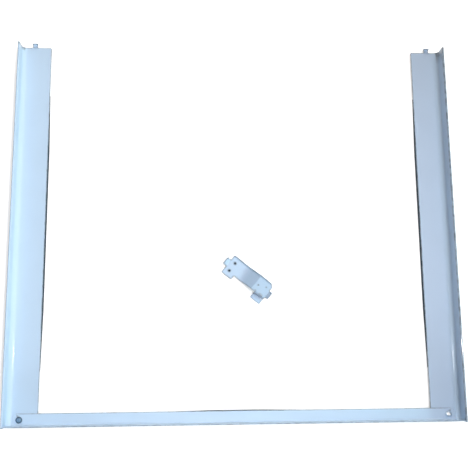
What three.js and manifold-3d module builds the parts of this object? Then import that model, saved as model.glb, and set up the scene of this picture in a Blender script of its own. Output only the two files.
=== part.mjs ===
// Washer dryer stacking kit: a U of three pressed sheet rails that keeps a dryer on top of a
// washing machine, with its corner screws and nuts, its rubber pads and a loose anchor clip.
// Millimetres, +Z up. The U lies flat and opens towards +Y; its front rail is at -Y.

import * as THREE from 'three';
import { mergeVertices } from 'three/addons/utils/BufferGeometryUtils.js';
import Module from 'manifold-3d';

// Driving dimensions: the frame
const frameWidth = 598;
const railLength = 518;
const sheet = 1.2;
const railWidth = 42;
const flangeHeight = 21;
const coveRadius = 6.5;
const hemThickness = 2.6;
const hemLeg = 7;

// Front rail
const frontDepth = 16;
const frontBendRadius = 2;
const frontSetBack = 1;
const frontCornerChamfer = 4;
const frontSeatDepth = 0.3;

// Hook lug at the rear end of each side rail
const lugFromSide = 19.5;
const lugNeckWidth = 6.6;
const lugHeadWidth = 7.8;
const lugLength = 5.2;
const lugLipHeight = 3;

// Corner fixings
const screwFromSide = 18.5;
const screwFromFront = 9;
const threadDiameter = 4;
const headDiameter = 8.4;
const headHeight = 2.4;
const headEdgeHeight = 0.9;
const recessWidth = 1.2;
const recessSpan = 4.6;
const recessDepth = 1.5;
const nutDiameter = 8;
const nutHeight = 2;
const screwTipBelowNut = 0.4;

// Rubber pads
const padThickness = 3;
const sideStripWidth = 22;
const sideStripOverhang = 1.4;
const frontStripLength = 220;
const frontStripWidth = 11;
const frontStripOverhang = 0.8;
const endPadSide = 20;
const endPadFromInnerEdge = 5;
const frontPadFromFront = 24;
const rearPadFromRear = 6;
const sideStripFromFrontPad = 25;
const padCornerRadius = 2;

// Anchor clip, measured along its strap (u) and across it (v)
const clipSheet = 1.2;
const clipLength = 67;
const clipWidth = 29.3;
const clipStrapEdge = 6.3;
const clipEarLength = 16.8;
const clipRampStart = 21.8;
const clipRampEnd = 45.8;
const clipRampBend = 8;
const clipRise = 9.6;
const clipRimWidth = 3;
const clipRimRise = 2.4;
const clipTabWidth = 10.8;
const clipTabReach = 5.4;
const clipFarTabReach = 4.4;
const clipTabRise = 3.4;
const clipTabFromEdge = 10.3;
const clipFarTabFromEdge = 8.8;
const clipCornerChamfer = 4.5;
const clipHoleDiameter = 3;
const clipHoleFromEnd = 7.3;
const clipLowHoleFromEdge = 8;
const clipHoleSpacing = 12.6;
const clipFootLength = 15.7;
const clipFootReach = 8.3;
const clipSlotLength = 4;
const clipSlotFromEnd = 6.4;
const clipSlotWidth = 1.6;
const clipTurnDegrees = -39.5;
const clipCornerX = -19.5;
const clipCornerBehindFront = 199.8;
const clipPadThickness = 1.7;
const clipPadInset = 1.5;

// Clearances and the overrun of every cut
const seatGap = 0.1;
const endClearance = 0.5;
const boltClearance = 0.25;
const overrun = 2;

// How finely round stretches are cut into straight ones
const bendSteps = 10;
const roundSteps = 32;
const rampSteps = 14;

// Levels and places that follow from the sizes above
const webUnder = padThickness;
const webTop = webUnder + sheet;
const flangeTop = webTop + flangeHeight;
const frontSeat = webTop - frontSeatDepth;
const frontUnder = frontSeat + seatGap;
const frontTop = frontUnder + sheet;
const frontY = -(railLength + lugLength) / 2;
const rearY = frontY + railLength;
const outerX = frameWidth / 2;
const innerX = outerX - railWidth;
const flangeFaceX = outerX - hemThickness;
const coveFootX = flangeFaceX - coveRadius;
const frontFaceY = frontY + frontSetBack;
const frontInnerY = frontFaceY + frontDepth;
const screwX = outerX - screwFromSide;
const screwY = frontY + screwFromFront;
const holeRadius = threadDiameter / 2 + boltClearance;
const screwTip = webUnder - seatGap - nutHeight - screwTipBelowNut;
const clipSeat = clipPadThickness + seatGap;

const wasm = await Module();
wasm.setup();

// Materials, one for each piece
const paint = { color: '#c4def5', roughness: 0.42, metalness: 0.0 };
const zinc = { color: '#c3ccd6', roughness: 0.3, metalness: 1.0 };
const darkZinc = { color: '#5d7488', roughness: 0.4, metalness: 1.0 };
const rubber = { color: '#3b4145', roughness: 0.95, metalness: 0.0 };
const clipPaint = { color: '#c8dff4', roughness: 0.38, metalness: 0.0 };

function solid(geometry) {
  const bare = new THREE.BufferGeometry();
  bare.setAttribute('position', geometry.getAttribute('position').clone());
  if (geometry.index) bare.setIndex(geometry.index.clone());
  const welded = mergeVertices(bare, sheet / 10000);
  return new wasm.Manifold(new wasm.Mesh({
    numProp: 3,
    vertProperties: new Float32Array(welded.getAttribute('position').array),
    triVerts: new Uint32Array(welded.index.array),
  }));
}

function piece(name, body, finish) {
  const data = body.getMesh();
  const geometry = new THREE.BufferGeometry();
  geometry.setAttribute('position', new THREE.BufferAttribute(data.vertProperties, data.numProp));
  geometry.setIndex(new THREE.BufferAttribute(data.triVerts, 1));
  geometry.computeVertexNormals();
  const mesh = new THREE.Mesh(geometry, new THREE.MeshStandardMaterial(finish));
  mesh.name = name;
  return mesh;
}

// A block given by its low and high corners
function block(low, high) {
  const size = high.map((value, axis) => value - low[axis]);
  const geometry = new THREE.BoxGeometry(...size);
  geometry.translate(...low.map((value, axis) => value + size[axis] / 2));
  return solid(geometry);
}

// An upright cylinder between two levels
function post(x, y, radius, bottom, top) {
  const geometry = new THREE.CylinderGeometry(radius, radius, top - bottom, roundSteps);
  geometry.rotateX(Math.PI / 2);
  geometry.translate(x, y, (bottom + top) / 2);
  return solid(geometry);
}

// A plan outline, given in X and Y, raised from one level to another
function slab(outline, bottom, top) {
  const geometry = new THREE.ExtrudeGeometry(new THREE.Shape(outline), {
    depth: top - bottom,
    bevelEnabled: false,
  });
  geometry.translate(0, 0, bottom);
  return solid(geometry);
}

// The outline of a folded sheet, walked along its middle line. Each step either runs straight
// for a length or bends round a radius by an angle, to the left when the angle is positive.
function foldedOutline(start, steps, thickness) {
  const left = [];
  const right = [];
  const at = start.clone();
  let heading = 0;
  const mark = () => {
    const across = new THREE.Vector2(-Math.sin(heading), Math.cos(heading));
    left.push(at.clone().addScaledVector(across, thickness / 2));
    right.push(at.clone().addScaledVector(across, -thickness / 2));
  };
  mark();
  for (const step of steps) {
    const pieces = step.run === undefined ? bendSteps : 1;
    const turn = step.run === undefined ? step.angle / bendSteps : 0;
    const chord = step.run ?? 2 * step.radius * Math.sin(Math.abs(turn) / 2);
    for (let k = 0; k < pieces; k += 1) {
      heading += turn / 2;
      at.add(new THREE.Vector2(Math.cos(heading), Math.sin(heading)).multiplyScalar(chord));
      heading += turn / 2;
      mark();
    }
  }
  return new THREE.Shape([...left, ...right.reverse()]);
}

// One side rail: web, cove, upright flange and the hem folded outwards along its top, with the
// hook lug at the rear end and the screw hole at the front end, where the web is pressed down a
// little as a seat for the front rail. The side is -1 left, 1 right.
function sideRail(side) {
  const coveMiddle = coveRadius + sheet / 2;
  const hemMiddle = (hemThickness - sheet) / 2;
  const steps = [
    { run: coveFootX - innerX },
    { radius: coveMiddle, angle: Math.PI / 2 },
    { run: flangeHeight - coveRadius - hemThickness / 2 },
    { radius: hemMiddle, angle: -Math.PI },
    { run: hemLeg - hemThickness / 2 },
  ];
  const outline = foldedOutline(new THREE.Vector2(0, webUnder + sheet / 2), steps, sheet);
  const geometry = new THREE.ExtrudeGeometry(outline, { depth: railLength, bevelEnabled: false });
  geometry.rotateX(Math.PI / 2);
  geometry.translate(innerX, rearY, 0);
  let body = solid(geometry);

  const lugX = outerX - lugFromSide;
  const neck = block(
    [lugX - lugNeckWidth / 2, rearY - overrun, webUnder],
    [lugX + lugNeckWidth / 2, rearY + lugLength, webTop],
  );
  const lip = block(
    [lugX - lugHeadWidth / 2, rearY + lugLength - sheet, webUnder],
    [lugX + lugHeadWidth / 2, rearY + lugLength, webTop + lugLipHeight],
  );
  body = body.add(neck).add(lip);
  body = body.subtract(block(
    [innerX - overrun, frontY - overrun, frontSeat],
    [coveFootX, frontInnerY + endClearance, webTop + overrun],
  ));
  body = body.subtract(post(screwX, screwY, holeRadius, webUnder - overrun, webTop + overrun));
  return side > 0 ? body : body.mirror([1, 0, 0]);
}

// The front rail: a base plate that lies on the side rails' webs and an upright front flange.
// Its lower end corners are cut back clear of the side rails' coves.
function frontRail() {
  const bendMiddle = frontBendRadius + sheet / 2;
  const steps = [
    { run: frontDepth - sheet - frontBendRadius },
    { radius: bendMiddle, angle: Math.PI / 2 },
    { run: flangeTop - frontTop - frontBendRadius },
  ];
  const outline = foldedOutline(new THREE.Vector2(0, frontUnder + sheet / 2), steps, sheet);
  const halfLength = flangeFaceX - endClearance;
  const geometry = new THREE.ExtrudeGeometry(outline, { depth: 2 * halfLength, bevelEnabled: false });
  geometry.rotateX(Math.PI / 2);
  geometry.rotateZ(-Math.PI / 2);
  geometry.translate(halfLength, frontInnerY, 0);
  let body = solid(geometry);

  const baseEnd = coveFootX - endClearance;
  for (const side of [-1, 1]) {
    const xs = [side * baseEnd, side * (halfLength + overrun)].sort((a, b) => a - b);
    const notch = block(
      [xs[0], frontFaceY - overrun, frontUnder - overrun],
      [xs[1], frontInnerY + overrun, webTop + coveRadius + endClearance],
    );
    const chamfer = slab(
      [
        new THREE.Vector2(side * (baseEnd - frontCornerChamfer), frontInnerY),
        new THREE.Vector2(side * (baseEnd - frontCornerChamfer), frontInnerY + overrun),
        new THREE.Vector2(side * (baseEnd + overrun), frontInnerY + overrun),
        new THREE.Vector2(side * (baseEnd + overrun), frontInnerY - frontCornerChamfer),
        new THREE.Vector2(side * baseEnd, frontInnerY - frontCornerChamfer),
      ],
      frontUnder - overrun,
      frontTop + overrun,
    );
    const hole = post(side * screwX, screwY, holeRadius, frontUnder - overrun, frontTop + overrun);
    body = body.subtract(notch).subtract(chamfer).subtract(hole);
  }
  return body;
}

// A turned solid from a closed profile of radius and level points, at one screw place
function turned(profile, side) {
  const geometry = new THREE.LatheGeometry(profile.map(([r, z]) => new THREE.Vector2(r, z)), roundSteps);
  geometry.rotateX(Math.PI / 2);
  geometry.translate(side * screwX, screwY, 0);
  return solid(geometry);
}

// Pan head screw with a cross recess; its domed head is a circular arc over a short straight edge
function cornerScrew(side) {
  const seat = frontTop + seatGap;
  const headTop = seat + headHeight;
  const edge = seat + headEdgeHeight;
  const headRadius = headDiameter / 2;
  const rise = headTop - edge;
  const domeRadius = (headRadius ** 2 + rise ** 2) / (2 * rise);
  const domeAngle = Math.asin(headRadius / domeRadius);
  const dome = [];
  for (let k = 0; k <= bendSteps; k += 1) {
    const angle = (domeAngle * (bendSteps - k)) / bendSteps;
    dome.push([domeRadius * Math.sin(angle), headTop - domeRadius * (1 - Math.cos(angle))]);
  }
  dome[bendSteps][0] = 0;
  const body = turned([
    [0, screwTip],
    [threadDiameter / 2 - boltClearance, screwTip],
    [threadDiameter / 2 - boltClearance, seat],
    [headRadius, seat],
    ...dome,
  ], side);
  const x = side * screwX;
  const armX = block(
    [x - recessSpan / 2, screwY - recessWidth / 2, headTop - recessDepth],
    [x + recessSpan / 2, screwY + recessWidth / 2, headTop + overrun],
  );
  const armY = block(
    [x - recessWidth / 2, screwY - recessSpan / 2, headTop - recessDepth],
    [x + recessWidth / 2, screwY + recessSpan / 2, headTop + overrun],
  );
  return body.subtract(armX).subtract(armY);
}

// Round press nut under the side rail's web
function cornerNut(side) {
  const top = webUnder - seatGap;
  return turned([
    [threadDiameter / 2, top - nutHeight],
    [nutDiameter / 2, top - nutHeight],
    [nutDiameter / 2, top],
    [threadDiameter / 2, top],
    [threadDiameter / 2, top - nutHeight],
  ], side);
}

// A rubber pad with rounded corners, centred at a place, standing on the ground
function pad(x, y, width, length, top) {
  const outline = new THREE.Shape();
  const a = width / 2 - padCornerRadius;
  const b = length / 2 - padCornerRadius;
  outline.absarc(x + a, y + b, padCornerRadius, 0, Math.PI / 2);
  outline.absarc(x - a, y + b, padCornerRadius, Math.PI / 2, Math.PI);
  outline.absarc(x - a, y - b, padCornerRadius, Math.PI, 1.5 * Math.PI);
  outline.absarc(x + a, y - b, padCornerRadius, 1.5 * Math.PI, 2 * Math.PI);
  const geometry = new THREE.ExtrudeGeometry(outline, {
    depth: top,
    bevelEnabled: false,
    curveSegments: bendSteps,
  });
  return solid(geometry);
}

// Height of the clip's middle line along its strap: the left tab slopes up and away, the ramp
// bends up and then runs straight to the crease, and the far tab slopes up once more.
function strapHeight(u) {
  const slope = clipRise / (clipRampEnd - clipRampStart - clipRampBend / 2);
  const into = u - clipRampStart;
  if (u < 0) return (-u / clipTabReach) * clipTabRise;
  if (u <= clipRampStart) return 0;
  if (into < clipRampBend) return (slope * into ** 2) / (2 * clipRampBend);
  if (u < clipRampEnd) return slope * (into - clipRampBend / 2);
  if (u <= clipLength) return clipRise;
  return clipRise + ((u - clipLength) / clipTabReach) * clipTabRise;
}

// The strap as a closed grid: an upper and a lower skin over the same stations, with side walls
function strapSheet() {
  const us = [-clipTabReach, 0, clipRampStart];
  for (let k = 1; k <= rampSteps; k += 1) {
    us.push(clipRampStart + ((clipRampEnd - clipRampStart) * k) / rampSteps);
  }
  us.push(clipLength, clipLength + clipFarTabReach);
  const vs = [0, clipWidth - clipRimWidth, clipWidth];
  const points = [];
  for (const level of [1, 0]) {
    for (const u of us) {
      for (const v of vs) {
        const rim = (Math.max(0, v - vs[1]) / clipRimWidth) * clipRimRise;
        points.push(u, v, clipSeat + strapHeight(u) + rim + level * clipSheet);
      }
    }
  }
  const skin = us.length * vs.length;
  const at = (level, i, j) => level * skin + i * vs.length + j;
  const faces = [];
  const quad = (a, b, c, d) => faces.push(a, b, c, a, c, d);
  for (let i = 0; i + 1 < us.length; i += 1) {
    for (let j = 0; j + 1 < vs.length; j += 1) {
      quad(at(0, i, j), at(0, i + 1, j), at(0, i + 1, j + 1), at(0, i, j + 1));
      quad(at(1, i, j), at(1, i, j + 1), at(1, i + 1, j + 1), at(1, i + 1, j));
    }
    const last = vs.length - 1;
    quad(at(0, i, 0), at(1, i, 0), at(1, i + 1, 0), at(0, i + 1, 0));
    quad(at(0, i + 1, last), at(1, i + 1, last), at(1, i, last), at(0, i, last));
  }
  for (let j = 0; j + 1 < vs.length; j += 1) {
    const end = us.length - 1;
    quad(at(0, 0, j + 1), at(1, 0, j + 1), at(1, 0, j), at(0, 0, j));
    quad(at(0, end, j), at(1, end, j), at(1, end, j + 1), at(0, end, j + 1));
  }
  const geometry = new THREE.BufferGeometry();
  geometry.setAttribute('position', new THREE.BufferAttribute(new Float32Array(points), 3));
  geometry.setIndex(faces);
  return solid(geometry);
}

// A piece that is given along and across the clip's strap, turned and moved to where the clip lies
function inClipPlace(body) {
  return body.rotate([0, 0, clipTurnDegrees]).translate([clipCornerX, frontY + clipCornerBehindFront, 0]);
}

// The anchor clip: the strap trimmed to its plan outline, pierced, with its foot folded down
function anchorClip() {
  const tabTop = clipTabFromEdge + clipTabWidth;
  const farTabTop = clipFarTabFromEdge + clipTabWidth;
  const farEnd = clipLength + clipFarTabReach;
  const plan = [
    [0, 0],
    [clipEarLength, 0],
    [clipEarLength, clipStrapEdge],
    [clipLength, clipStrapEdge],
    [clipLength, clipFarTabFromEdge],
    [farEnd + overrun, clipFarTabFromEdge],
    [farEnd + overrun, farTabTop],
    [clipLength, farTabTop],
    [clipLength, clipWidth - clipCornerChamfer],
    [clipLength - clipCornerChamfer, clipWidth],
    [clipLength - clipCornerChamfer, clipWidth + overrun],
    [0, clipWidth + overrun],
    [0, tabTop],
    [-clipTabReach - overrun, tabTop],
    [-clipTabReach - overrun, clipTabFromEdge],
    [0, clipTabFromEdge],
  ];
  const high = clipSeat + clipRise + clipSheet + clipRimRise;
  const trim = slab(plan.map(([u, v]) => new THREE.Vector2(u, v)), -overrun, high + overrun);
  let body = strapSheet().intersect(trim);

  const footStart = clipLength - clipFootLength;
  const lip = block(
    [footStart, clipStrapEdge, 0],
    [clipLength, clipStrapEdge + clipSheet, clipSeat + clipRise + clipSheet],
  );
  const foot = block(
    [footStart, clipStrapEdge - clipFootReach, 0],
    [clipLength, clipStrapEdge + clipSheet, clipSheet],
  );
  body = body.add(lip).add(foot);

  const slotU = clipLength - clipSlotFromEnd;
  const slot = block(
    [slotU - clipSlotLength / 2, clipStrapEdge + clipSheet, -overrun],
    [slotU + clipSlotLength / 2, clipStrapEdge + clipSheet + clipSlotWidth, high + overrun],
  );
  body = body.subtract(slot);
  for (const v of [clipLowHoleFromEdge, clipLowHoleFromEdge + clipHoleSpacing]) {
    const top = clipSeat + clipSheet + overrun;
    body = body.subtract(post(clipHoleFromEnd, v, clipHoleDiameter / 2, -overrun, top));
  }
  return inClipPlace(body);
}

const kit = new THREE.Group();
const seat = webUnder - seatGap;
const stripX = innerX - sideStripOverhang + sideStripWidth / 2;
const endPadX = innerX + endPadFromInnerEdge + endPadSide / 2;
const frontPadY = frontY + frontPadFromFront + endPadSide / 2;
const rearPadY = rearY - rearPadFromRear - endPadSide / 2;
const railMiddleY = (frontY + rearY) / 2;
const sideStripFromFront = frontPadFromFront + endPadSide + sideStripFromFrontPad;
const sideStripLength = railLength - 2 * sideStripFromFront;

for (const [word, side] of [['left', -1], ['right', 1]]) {
  kit.add(piece(`side_rail_${word}`, sideRail(side), paint));
  kit.add(piece(`corner_screw_${word}`, cornerScrew(side), side < 0 ? darkZinc : zinc));
  kit.add(piece(`corner_nut_${word}`, cornerNut(side), zinc));
  const strip = pad(side * stripX, railMiddleY, sideStripWidth, sideStripLength, seat);
  kit.add(piece(`rubber_strip_${word}`, strip, rubber));
  const frontPad = pad(side * endPadX, frontPadY, endPadSide, endPadSide, seat);
  kit.add(piece(`rubber_pad_front_${word}`, frontPad, rubber));
  const rearPad = pad(side * endPadX, rearPadY, endPadSide, endPadSide, seat);
  kit.add(piece(`rubber_pad_rear_${word}`, rearPad, rubber));
}

kit.add(piece('front_rail', frontRail(), paint));
const frontStripY = frontInnerY + frontStripOverhang - frontStripWidth / 2;
const frontStrip = pad(0, frontStripY, frontStripLength, frontStripWidth, frontUnder - seatGap);
kit.add(piece('rubber_strip_front', frontStrip, rubber));
kit.add(piece('anchor_clip', anchorClip(), clipPaint));
const clipPadSpan = clipWidth - clipRimWidth;
const clipPadSize = [clipEarLength - 2 * clipPadInset, clipPadSpan - 2 * clipPadInset];
const clipPad = pad(clipEarLength / 2, clipPadSpan / 2, ...clipPadSize, clipPadThickness);
kit.add(piece('rubber_pad_clip', inClipPlace(clipPad), rubber));

export default kit;
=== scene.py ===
"""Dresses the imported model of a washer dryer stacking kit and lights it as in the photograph.

A small stamped clip lies loose inside it. Every rail and the clip is worked out as its flat
blank, with rounded cut edges, and then folded.
"""

import math

import bpy
import numpy as np
from mathutils import Matrix, Vector
from mathutils.geometry import delaunay_2d_cdt


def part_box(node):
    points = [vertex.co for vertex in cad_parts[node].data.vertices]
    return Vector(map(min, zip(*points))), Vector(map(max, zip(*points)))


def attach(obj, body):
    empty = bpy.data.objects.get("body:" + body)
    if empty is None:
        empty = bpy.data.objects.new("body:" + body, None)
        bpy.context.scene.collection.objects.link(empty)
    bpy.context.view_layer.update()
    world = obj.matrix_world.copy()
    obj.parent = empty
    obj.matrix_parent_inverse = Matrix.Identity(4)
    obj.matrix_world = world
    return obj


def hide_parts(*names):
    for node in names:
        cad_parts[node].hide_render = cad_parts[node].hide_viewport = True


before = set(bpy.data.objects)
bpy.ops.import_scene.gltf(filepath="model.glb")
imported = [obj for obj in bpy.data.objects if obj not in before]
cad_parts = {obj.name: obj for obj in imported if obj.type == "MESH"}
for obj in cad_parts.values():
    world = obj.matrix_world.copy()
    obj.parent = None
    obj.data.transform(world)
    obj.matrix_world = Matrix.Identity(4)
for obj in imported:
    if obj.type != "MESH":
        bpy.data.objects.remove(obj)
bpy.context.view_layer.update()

bl_info = {
    "name": "Washer dryer stacking kit",
    "version": (1, 0, 0),
    "blender": (4, 5, 0),
    "location": "3D View > Sidebar > Kit",
    "description": "Builds the dressed rails, fixings, pads and clip of a stacking kit",
    "category": "Object",
}

MM = 0.001
SIDES = {"left": -1.0, "right": 1.0}
# The finish that dresses each of the frame's material slots
FINISHES = {
    "rail_paint": "polyester_powder_coat_rails",
    "clip_paint": "polyester_powder_coat_clip",
    "bright_zinc": "bright_zinc_plate",
    "dark_zinc": "dark_passivated_zinc_plate",
    "rubber": "closed_cell_rubber",
}
PAPER = "seamless_white_paper"
# Steps in the round of a cut edge, and around a circle
EDGE_STEPS = 3
ROUND_STEPS = 48
# Faces that meet at a wider angle than this are shaded with a sharp edge
SHARP_ANGLE = math.radians(38)

# Places that the frame gives, in metres
RAIL_LOW, RAIL_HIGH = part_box("side_rail_right")
FRONT_LOW, FRONT_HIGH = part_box("front_rail")
SCREW_LOW, SCREW_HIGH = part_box("corner_screw_right")
NUT_LOW, NUT_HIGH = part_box("corner_nut_right")
INNER_X, OUTER_X = RAIL_LOW[0], RAIL_HIGH[0]
FRONT_Y = RAIL_LOW[1]
WEB_UNDER, FLANGE_TOP = RAIL_LOW[2], RAIL_HIGH[2]
SCREW_X = (SCREW_LOW[0] + SCREW_HIGH[0]) / 2
SCREW_Y = (SCREW_LOW[1] + SCREW_HIGH[1]) / 2


def to_linear(code):
    """Linear colour of an sRGB hex value, by the sRGB curve."""
    parts = np.array([int(code[i : i + 2], 16) for i in (1, 3, 5)]) / 255.0
    return tuple(np.where(parts <= 0.04045, parts / 12.92, ((parts + 0.055) / 1.055) ** 2.4))


def length(label, words, value):
    """A length property, in metres, from a value in millimetres."""
    return bpy.props.FloatProperty(name=label, description=words, default=value * MM, unit="LENGTH")


def colour(label, words, code):
    """A colour property from an sRGB hex value."""
    return bpy.props.FloatVectorProperty(
        name=label, description=words, default=to_linear(code), size=3, subtype="COLOR"
    )


class KitSizes(bpy.types.PropertyGroup):
    """Sizes of the rails, fixings and pads that the frame's boxes don't give."""

    sheet: length("Sheet", "Thickness of the pressed sheet", 1.2)
    edge: length("Edge round", "Rounding that the paint gives a cut edge", 0.25)
    cove: length("Cove", "Inside radius between web and flange", 6.5)
    hem: length("Hem", "Thickness over the folded hem", 2.6)
    hem_leg: length("Hem leg", "Height of the hem's outer leg", 7.0)
    rail: length("Rail length", "Length of a side rail without its lug", 518.0)
    bend: length("Front bend", "Inside radius of the front rail's bend", 2.0)
    chamfer: length("Front chamfer", "Chamfer on the front rail's inner corners", 4.0)
    clearance: length("End clearance", "Gap between the front rail's base and the coves", 0.5)
    seat: length("Seat depth", "Depth of the front rail's seat in the webs", 0.3)
    lug_place: length("Lug place", "Distance of the lug from the rail's outer side", 19.5)
    lug_neck: length("Lug neck", "Width of the lug's neck", 6.6)
    lug_head: length("Lug head", "Width of the lug's upturned lip", 7.8)
    lug_lip: length("Lug lip", "Height of the lip over the web", 3.0)
    hole: length("Hole", "Diameter of the holes for the corner screws", 4.5)
    head: length("Screw head", "Diameter of the pan heads", 8.4)
    head_edge: length("Head edge", "Height of the pan head's straight edge", 1.2)
    thread: length("Thread", "Outer diameter of the thread", 3.5)
    pitch: length("Pitch", "Pitch of the thread", 0.7)
    recess: length("Recess", "Span of the cross recess", 4.6)
    recess_arm: length("Recess arm", "Width of an arm of the cross recess", 1.0)
    recess_depth: length("Recess depth", "Depth of the cross recess", 0.9)
    pad_round: length("Pad edge", "Rounding of the rubber pads' edges", 0.5)
    pad_corner: length("Pad corner", "Corner radius of the rubber pads", 2.0)
    trim: length("Trim", "How far the strips' inner sides are trimmed back at their ends", 1.5)
    trim_run: length("Trim run", "Length over which the strips are trimmed", 80.0)


class ClipSizes(bpy.types.PropertyGroup):
    """Sizes of the anchor clip, along its strap (u) and across it (v)."""

    sheet: length("Sheet", "Thickness of the clip's sheet", 1.2)
    strap: length("Length", "Length of the strap without its tabs", 67.0)
    width: length("Width", "Width over the ear", 29.3)
    strap_edge: length("Strap edge", "Where the strap's straight edge lies across the clip", 6.3)
    ear: length("Ear", "Length of the ear along the strap", 16.8)
    ramp_start: length("Ramp start", "Where the ramp leaves the low plate", 21.8)
    ramp_end: length("Ramp end", "Where the ramp meets the raised plate", 45.8)
    ramp_bend: length("Ramp bend", "Length over which the ramp bends up", 8.0)
    rise: length("Rise", "Height of the raised plate over the low one", 9.6)
    rim: length("Rim", "Width of the turned-up rim", 3.0)
    rim_rise: length("Rim rise", "Height of the turned-up rim", 1.5)
    tab_width: length("Tab width", "Width of the end tabs", 10.8)
    tab_reach: length("Tab reach", "Length of the end tabs", 5.4)
    far_reach: length("Far tab reach", "Length of the far tab", 4.4)
    tab_rise: length("Tab rise", "Height that the end tabs rise", 3.4)
    tab_place: length("Tab place", "Where the near tab starts across the clip", 10.3)
    far_place: length("Far tab place", "Where the far tab starts across the clip", 8.8)
    chamfer: length("Chamfer", "Chamfer on the raised plate's corner", 4.5)
    hole: length("Hole", "Diameter of the two holes", 3.0)
    hole_end: length("Hole from end", "Distance of the holes from the end", 7.3)
    hole_edge: length("Hole from edge", "Distance of the lower hole from the ear's edge", 8.0)
    hole_spacing: length("Hole spacing", "Distance between the two holes", 12.6)
    foot: length("Foot", "Length of the folded foot", 15.7)
    foot_reach: length("Foot reach", "How far the foot stands out", 8.3)
    slot: length("Slot", "Length of the relief slot at the foot", 4.0)
    slot_end: length("Slot from end", "Distance of the slot's middle from the strap's end", 6.4)
    slot_width: length("Slot width", "Width of the relief slot at the foot", 0.5)
    bend: length("Bend", "Radius of the small bends at the sheet's middle", 1.2)
    corner_x: length("Corner X", "Place of the ear's corner", -19.5)
    corner_y: length("Corner Y", "Distance of the ear's corner behind the frame's front", 199.8)
    lift: length("Seat", "Height of the low plate over the floor, on its rubber pad", 1.8)
    turn: bpy.props.FloatProperty(
        name="Turn", description="Turn of the strap", default=math.radians(-39.5), subtype="ANGLE"
    )


class KitFinish(bpy.types.PropertyGroup):
    rail_paint: colour("Rail paint", "Powder coat of the three rails", "#C6DDF3")
    # The clip's coat is the rails' coat made a little darker, a painted shade over the whole clip
    clip_paint: colour("Clip paint", "Powder coat of the clip", "#BED5ED")
    # Painted shade: a darker copy of the clip's coat, laid on its ramp and raised plate
    raised_shade_paint: colour("Raised shade paint", "Powder coat of the clip's raised part", "#B0CAE2")
    # Bare steel at worn cut edges, and also the tone of painted shade on the rails and clip
    bare_steel_and_shade: colour("Bare steel and shade", "Phosphated steel where the coat is thin", "#6F7A85")
    bright_zinc: colour("Bright zinc", "Plate of the right screw and the nuts", "#DCECFC")
    dark_zinc: colour("Dark zinc", "Passivated plate of the left screw", "#5F7689")
    rubber: colour("Rubber", "Closed-cell rubber of the pads", "#36404A")
    paper: colour("Paper", "Seamless white paper of the floor", "#D6D6D6")


# Outlines and folds


def rounded(corners, radii, steps=6):
    """Closed outline with its corners rounded. An arc of the given radius touches both sides at
    the radius divided by the tangent of half the corner's angle."""
    corners = np.asarray(corners, float)
    around = zip(np.roll(corners, 1, 0), corners, np.roll(corners, -1, 0), radii)
    parts = []
    for before, here, after, radius in around:
        if radius == 0:
            parts.append(here[None])
            continue
        a = (before - here) / np.linalg.norm(before - here)
        b = (after - here) / np.linalg.norm(after - here)
        half = np.arccos(np.clip(a @ b, -1, 1)) / 2
        centre = here + (a + b) / np.linalg.norm(a + b) * radius / np.sin(half)
        first = here + a * radius / np.tan(half) - centre
        last = here + b * radius / np.tan(half) - centre
        sweep = math.atan2(first[0] * last[1] - first[1] * last[0], first @ last)
        angle = math.atan2(first[1], first[0]) + np.linspace(0, sweep, steps + 1)
        parts.append(centre + radius * np.stack([np.cos(angle), np.sin(angle)], 1))
    return np.concatenate(parts)


def spaced(loop, step_u, step_v):
    """Closed outline with points added so that no side is longer than a step in u or in v."""
    sides = np.roll(loop, -1, 0) - loop
    counts = np.ceil(np.maximum(abs(sides[:, 0]) / step_u, abs(sides[:, 1]) / step_v) - 1e-6)
    counts = np.maximum(counts, 1).astype(int)
    start = np.repeat(np.arange(len(loop)), counts)
    place = np.arange(counts.sum()) - np.repeat(np.cumsum(counts) - counts, counts)
    return loop[start] + sides[start] * (place / counts[start])[:, None]


def circle(centre, radius, steps=ROUND_STEPS):
    """Clockwise circle, as the outline of a hole."""
    angle = -np.arange(steps) * 2 * math.pi / steps
    return np.asarray(centre) + radius * np.stack([np.cos(angle), np.sin(angle)], 1)


def moved_in(loop, distance):
    """Outline moved into the material, which lies on its left: each point goes along the sum of
    its two sides' normals, divided by one plus their dot product."""
    side = np.roll(loop, -1, 0) - loop
    side /= np.linalg.norm(side, axis=1, keepdims=True)
    normal = np.stack([-side[:, 1], side[:, 0]], 1)
    other = np.roll(normal, 1, 0)
    return loop + distance * (normal + other) / (1 + (normal * other).sum(1, keepdims=True))


def covered(points, loops):
    """Which points lie inside an odd number of loops, and how far each is from the outlines."""
    odd = np.zeros(len(points), bool)
    near = np.full(len(points), np.inf)
    for loop in loops:
        a, b = loop[None], np.roll(loop, -1, 0)[None]
        p = points[:, None]
        crosses = (a[..., 1] > p[..., 1]) != (b[..., 1] > p[..., 1])
        run = np.where(b[..., 1] == a[..., 1], 1.0, b[..., 1] - a[..., 1])
        at = a[..., 0] + (p[..., 1] - a[..., 1]) / run * (b[..., 0] - a[..., 0])
        odd ^= (crosses & (p[..., 0] < at)).sum(1) % 2 == 1
        side = b - a
        share = np.clip(((p - a) * side).sum(-1) / (side**2).sum(-1), 0, 1)
        near = np.minimum(near, np.linalg.norm(p - a - share[..., None] * side, axis=-1).min(1))
    return odd, near


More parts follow.
